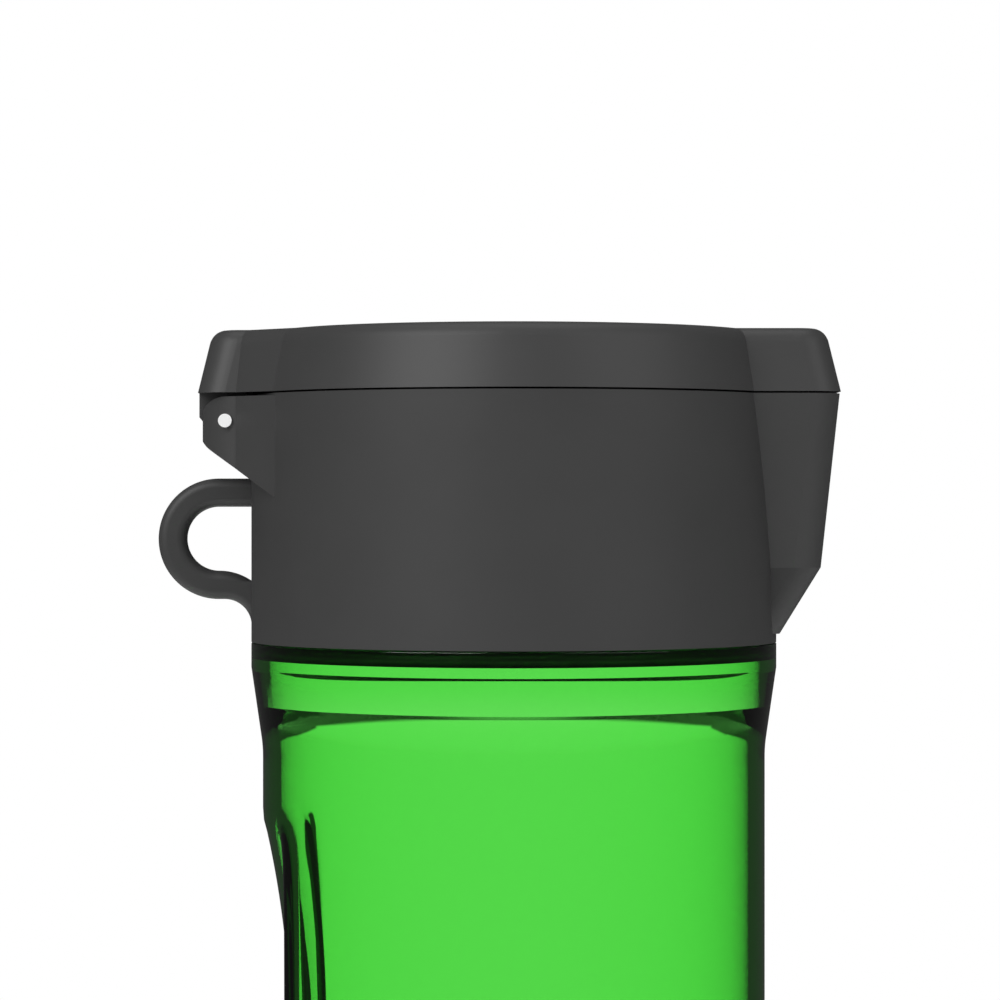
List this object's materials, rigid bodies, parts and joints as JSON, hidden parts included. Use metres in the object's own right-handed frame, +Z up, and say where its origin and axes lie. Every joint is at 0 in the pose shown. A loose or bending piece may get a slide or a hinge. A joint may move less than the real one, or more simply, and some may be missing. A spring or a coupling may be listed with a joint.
{
  "type": "disinfectant jar",
  "caption": "Clear green flip-top jar with a threaded neck, a screw cap with pouring beak, hinged lid and carrying loop, and a hand grip scooped into the wall.",
  "frame": {"origin": "centre of the flat underside of the foot pad, on the jar's axis", "axes": "+Z up along the jar's axis, +X towards the pouring beak, -X towards the hinge and the carrying loop, +Y completes the right-handed frame"},
  "size_m": [0.1285, 0.1004, 0.2089],
  "materials": {
    "green_clear": "clear green, polished",
    "charcoal": "fine satin",
    "black": "satin",
    "black_rubber": "matt",
    "silicone": "matt silicone",
    "steel": "ground"
  },
  "bodies": {
    "jar": {"jar_body": "green_clear", "neck_ring": "black", "foot_pad": "black_rubber"},
    "gasket": {"neck_gasket": "silicone"},
    "cap": {"collar_shell": "charcoal", "mouth_deck": "charcoal", "carry_loop": "charcoal", "hinge_pin": "steel"},
    "lid": {"lid_shell": "charcoal", "lid_liner": "charcoal", "mouth_seal": "silicone", "lid_catch": "charcoal"}
  },
  "joints": [
    {"name": "cap_lift", "type": "slide", "parent": "jar", "child": "gasket", "axis": [0, 0, 1], "range_m": [0, 0.0241]},
    {"name": "cap_turn", "type": "hinge", "parent": "gasket", "child": "cap", "pos_m": [0, 0, 0.15], "axis": [0, 0, 1], "range_deg": [0, 720]},
    {"name": "lid_flip", "type": "hinge", "parent": "cap", "child": "lid", "pos_m": [-0.05405, 0, 0.19175], "axis": [0, -1, 0], "range_deg": [0, 95]}
  ],
  "couplings": [
    {"joint": "cap_lift", "follows": "cap_turn", "m_per_rad": 0.0019099}
  ]
}
